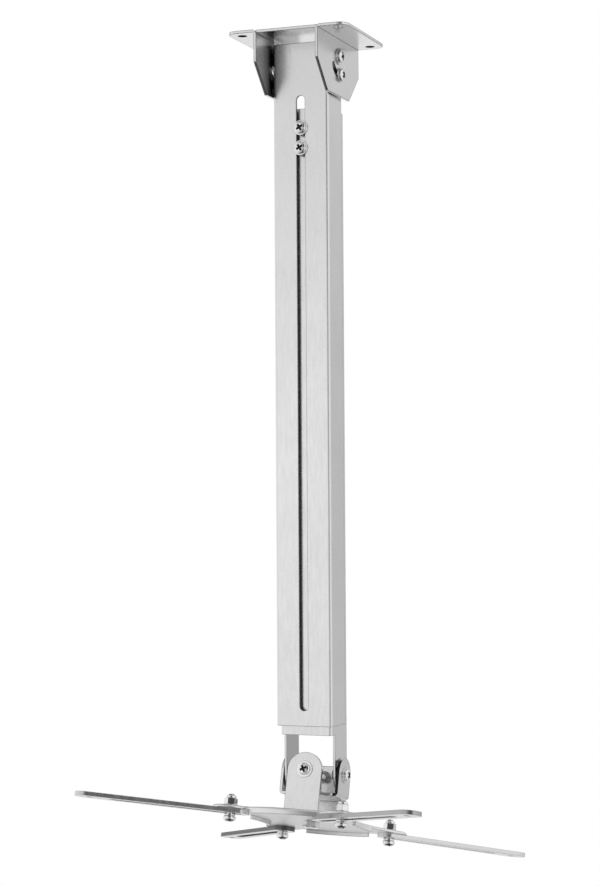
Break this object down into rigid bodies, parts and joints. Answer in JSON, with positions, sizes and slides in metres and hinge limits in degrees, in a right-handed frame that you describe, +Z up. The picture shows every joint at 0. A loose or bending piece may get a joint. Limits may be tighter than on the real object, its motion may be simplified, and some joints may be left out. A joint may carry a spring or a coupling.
{
  "type": "projector ceiling mount",
  "caption": "Ceiling mount for a projector: a folded bracket, a telescoping column of slotted channels, a tilting and swivelling head and slotted arms.",
  "frame": {"origin": "middle of the ceiling bracket's top face, which meets the ceiling", "axes": "+Z up to the ceiling; -Y to the front, where the column's slot is; +X to the right seen from the front"},
  "size_m": [0.3226, 0.2968, 0.7454],
  "materials": {
    "silver_sheet": "satin silver coat on steel sheet",
    "bright_zinc": "bright plated steel",
    "nylon": "dark moulded plastic"
  },
  "bodies": {
    "ceiling_bracket": {"ceiling_bracket": "silver_sheet", "pivot_washers": "bright_zinc", "pivot_spacers": "nylon", "pivot_nuts": "bright_zinc", "pivot_screws": "bright_zinc"},
    "outer_column": {"outer_column": "silver_sheet", "lock_washers": "bright_zinc", "lock_spacers": "nylon", "lock_nuts": "bright_zinc", "lock_screws": "bright_zinc"},
    "inner_column": {"inner_column": "silver_sheet", "clamp_washers": "bright_zinc", "clamp_bushes": "nylon", "clamp_nuts": "bright_zinc", "clamp_screws": "bright_zinc"},
    "yoke": {"yoke": "silver_sheet", "nod_washers": "bright_zinc", "nod_spacers": "nylon", "nod_nuts": "bright_zinc", "nod_screws": "bright_zinc"},
    "hub_bracket": {"hub_bracket": "silver_sheet", "roll_washers": "bright_zinc", "roll_spacers": "nylon", "roll_nuts": "bright_zinc", "roll_screws": "bright_zinc", "swivel_bolt": "bright_zinc", "swivel_washer": "bright_zinc", "swivel_nut": "bright_zinc"},
    "hub_plate": {"hub_plate": "silver_sheet"},
    "arm_clamp_front_left": {"arm_screw_front_left": "bright_zinc", "arm_spring_washer_front_left": "bright_zinc", "arm_washer_front_left": "bright_zinc", "arm_nut_front_left": "bright_zinc"},
    "arm_front_left": {"arm_front_left": "silver_sheet"},
    "arm_clamp_front_right": {"arm_screw_front_right": "bright_zinc", "arm_spring_washer_front_right": "bright_zinc", "arm_washer_front_right": "bright_zinc", "arm_nut_front_right": "bright_zinc"},
    "arm_front_right": {"arm_front_right": "silver_sheet"},
    "arm_clamp_back_left": {"arm_screw_back_left": "bright_zinc", "arm_spring_washer_back_left": "bright_zinc", "arm_washer_back_left": "bright_zinc", "arm_nut_back_left": "bright_zinc"},
    "arm_back_left": {"arm_back_left": "silver_sheet"},
    "arm_clamp_back_right": {"arm_screw_back_right": "bright_zinc", "arm_spring_washer_back_right": "bright_zinc", "arm_washer_back_right": "bright_zinc", "arm_nut_back_right": "bright_zinc"},
    "arm_back_right": {"arm_back_right": "silver_sheet"}
  },
  "joints": [
    {"name": "column_tilt", "type": "hinge", "parent": "ceiling_bracket", "child": "outer_column", "pos_m": [0, 0, -0.0185], "axis": [-1, 0, 0], "range_deg": [0, 15]},
    {"name": "extension", "type": "slide", "parent": "outer_column", "child": "inner_column", "axis": [0, 0, -1], "range_m": [-0.018, 0.49]},
    {"name": "head_nod", "type": "hinge", "parent": "inner_column", "child": "yoke", "pos_m": [0, 0.0115, -0.6559], "axis": [1, 0, 0], "range_deg": [-15, 45]},
    {"name": "head_roll", "type": "hinge", "parent": "yoke", "child": "hub_bracket", "pos_m": [0, 0.0115, -0.6559], "axis": [0, 0.9659, -0.2588], "range_deg": [-15, 15]},
    {"name": "hub_swivel", "type": "hinge", "parent": "hub_bracket", "child": "hub_plate", "pos_m": [-0.00042, 0.0012, -0.69434], "axis": [0.0105, 0.2588, 0.9659], "continuous": true},
    {"name": "swing_front_left", "type": "hinge", "parent": "hub_plate", "child": "arm_clamp_front_left", "pos_m": [-0.05198, -0.06254, -0.68302], "axis": [0.0105, 0.2588, 0.9659], "range_deg": [-11, 35]},
    {"name": "reach_front_left", "type": "slide", "parent": "arm_clamp_front_left", "child": "arm_front_left", "axis": [-0.866, -0.4806, 0.1382], "range_m": [-0.025, 0.0074]},
    {"name": "swing_front_right", "type": "hinge", "parent": "hub_plate", "child": "arm_clamp_front_right", "pos_m": [0.05102, -0.06282, -0.68406], "axis": [0.0105, 0.2588, 0.9659], "range_deg": [-35, 19]},
    {"name": "reach_front_right", "type": "slide", "parent": "arm_clamp_front_right", "child": "arm_front_right", "axis": [0.788, -0.5968, 0.1514], "range_m": [-0.0021, 0.0303]},
    {"name": "swing_back_left", "type": "hinge", "parent": "hub_plate", "child": "arm_clamp_back_left", "pos_m": [-0.05198, 0.06206, -0.71641], "axis": [0.0105, 0.2588, 0.9659], "range_deg": [-35, 27]},
    {"name": "reach_back_left", "type": "slide", "parent": "arm_clamp_back_left", "child": "arm_back_left", "axis": [-0.6946, 0.6967, -0.1792], "range_m": [-0.0294, 0.003]},
    {"name": "swing_back_right", "type": "hinge", "parent": "hub_plate", "child": "arm_clamp_back_right", "pos_m": [0.05102, 0.06178, -0.71745], "axis": [0.0105, 0.2588, 0.9659], "range_deg": [-27, 35]},
    {"name": "reach_back_right", "type": "slide", "parent": "arm_clamp_back_right", "child": "arm_back_right", "axis": [0.6946, 0.6929, -0.1932], "range_m": [-0.0314, 0.001]}
  ]
}
